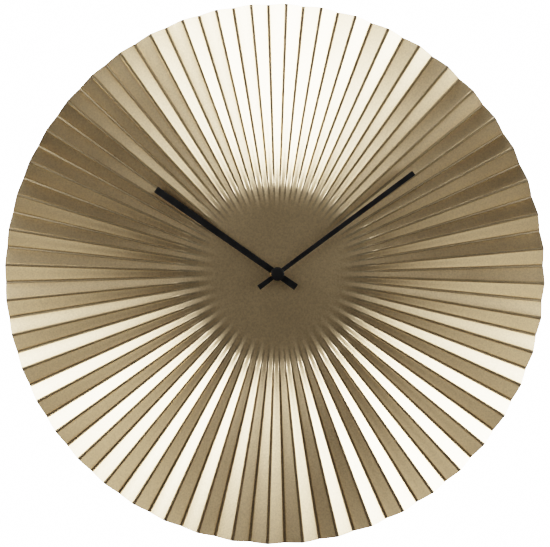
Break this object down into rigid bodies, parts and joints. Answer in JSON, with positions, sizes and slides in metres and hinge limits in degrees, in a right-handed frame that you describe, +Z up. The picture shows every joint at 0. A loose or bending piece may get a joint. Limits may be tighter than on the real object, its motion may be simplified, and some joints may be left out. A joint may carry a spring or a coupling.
{
  "type": "sunburst wall clock",
  "caption": "Round wall clock with a pleated gold metal dial, black bar hands and a quartz movement hung from a keyhole bracket.",
  "frame": {"origin": "on the hand axis, at the flat back face of the movement case that rests on the wall", "axes": "+Z up, +X right as seen from the front, the dial faces -Y and +Y points into the wall"},
  "size_m": [0.4998, 0.035, 0.4998],
  "materials": {
    "gold_sheet": "satin champagne gold metallic coat on sheet steel",
    "black_paint": "matt black paint",
    "black_plastic": "moulded, fine grain",
    "white_nylon": "moulded",
    "brass": "turned",
    "zinc_steel": "zinc plated",
    "soft_iron": "punched",
    "magnet_plastic": "bonded magnet",
    "copper_wire": "enamelled copper wire",
    "board_green": "solder mask",
    "rubber": "matt",
    "chip_resin": "cast resin",
    "cell_label": "plain printed label"
  },
  "bodies": {
    "clock": {"pleated_dial": "gold_sheet", "rear_case": "black_plastic", "front_case": "black_plastic", "middle_plate": "black_plastic", "threaded_bushing": "brass", "hex_nut": "brass", "brass_washer": "brass", "rubber_washer": "rubber", "hanger_bracket": "zinc_steel", "stator_plate": "soft_iron", "coil_core": "soft_iron", "coil_bobbin": "white_nylon", "coil_winding": "copper_wire", "circuit_board": "board_green", "quartz_crystal": "zinc_steel", "control_chip": "chip_resin", "positive_contact": "zinc_steel", "negative_contact": "zinc_steel"},
    "minute": {"minute_arbor": "brass", "minute_hand": "black_paint", "hand_cap": "black_paint", "clutch_spring": "zinc_steel"},
    "hour": {"hour_wheel": "brass", "hour_hand": "black_paint"},
    "motion": {"motion_wheel": "white_nylon"},
    "knob": {"set_knob": "white_nylon"},
    "fourth": {"fourth_wheel": "white_nylon"},
    "fifth": {"fifth_wheel": "white_nylon"},
    "third": {"third_wheel": "white_nylon"},
    "centre": {"centre_wheel": "white_nylon"},
    "motor_rotor": {"rotor": "magnet_plastic"},
    "cell": {"battery": "cell_label"}
  },
  "joints": [
    {"name": "minute_hand_turn", "type": "hinge", "parent": "clock", "child": "minute", "pos_m": [0, 0, 0], "axis": [0, 1, 0], "continuous": true},
    {"name": "hour_hand_turn", "type": "hinge", "parent": "clock", "child": "hour", "pos_m": [0, 0, 0], "axis": [0, 1, 0], "continuous": true},
    {"name": "motion_wheel_turn", "type": "hinge", "parent": "clock", "child": "motion", "pos_m": [-0.0052, 0, -0.003], "axis": [0, 1, 0], "continuous": true},
    {"name": "set_knob_turn", "type": "hinge", "parent": "clock", "child": "knob", "pos_m": [-0.0112, 0, -0.003], "axis": [0, 1, 0], "continuous": true},
    {"name": "fourth_wheel_turn", "type": "hinge", "parent": "clock", "child": "fourth", "pos_m": [0, 0, 0], "axis": [0, 1, 0], "continuous": true},
    {"name": "fifth_wheel_turn", "type": "hinge", "parent": "clock", "child": "fifth", "pos_m": [0.00812, 0, 0.00469], "axis": [0, 1, 0], "continuous": true},
    {"name": "rotor_turn", "type": "hinge", "parent": "clock", "child": "motor_rotor", "pos_m": [0.00694, 0, 0.01138], "axis": [0, 1, 0], "continuous": true},
    {"name": "third_wheel_turn", "type": "hinge", "parent": "clock", "child": "third", "pos_m": [-0.00659, 0, 0.00553], "axis": [0, 1, 0], "continuous": true},
    {"name": "centre_wheel_turn", "type": "hinge", "parent": "clock", "child": "centre", "pos_m": [0, 0, 0], "axis": [0, 1, 0], "continuous": true},
    {"name": "battery_lift", "type": "slide", "parent": "clock", "child": "cell", "axis": [0, 1, 0], "range_m": [0, 0.02]}
  ],
  "couplings": [
    {"joint": "hour_hand_turn", "follows": "minute_hand_turn", "ratio": 0.083333},
    {"joint": "motion_wheel_turn", "follows": "minute_hand_turn", "ratio": -0.33333},
    {"joint": "set_knob_turn", "follows": "minute_hand_turn", "ratio": 1},
    {"joint": "fifth_wheel_turn", "follows": "fourth_wheel_turn", "ratio": -4},
    {"joint": "rotor_turn", "follows": "fourth_wheel_turn", "ratio": 30},
    {"joint": "third_wheel_turn", "follows": "fourth_wheel_turn", "ratio": -0.125},
    {"joint": "centre_wheel_turn", "follows": "fourth_wheel_turn", "ratio": 0.016667}
  ]
}
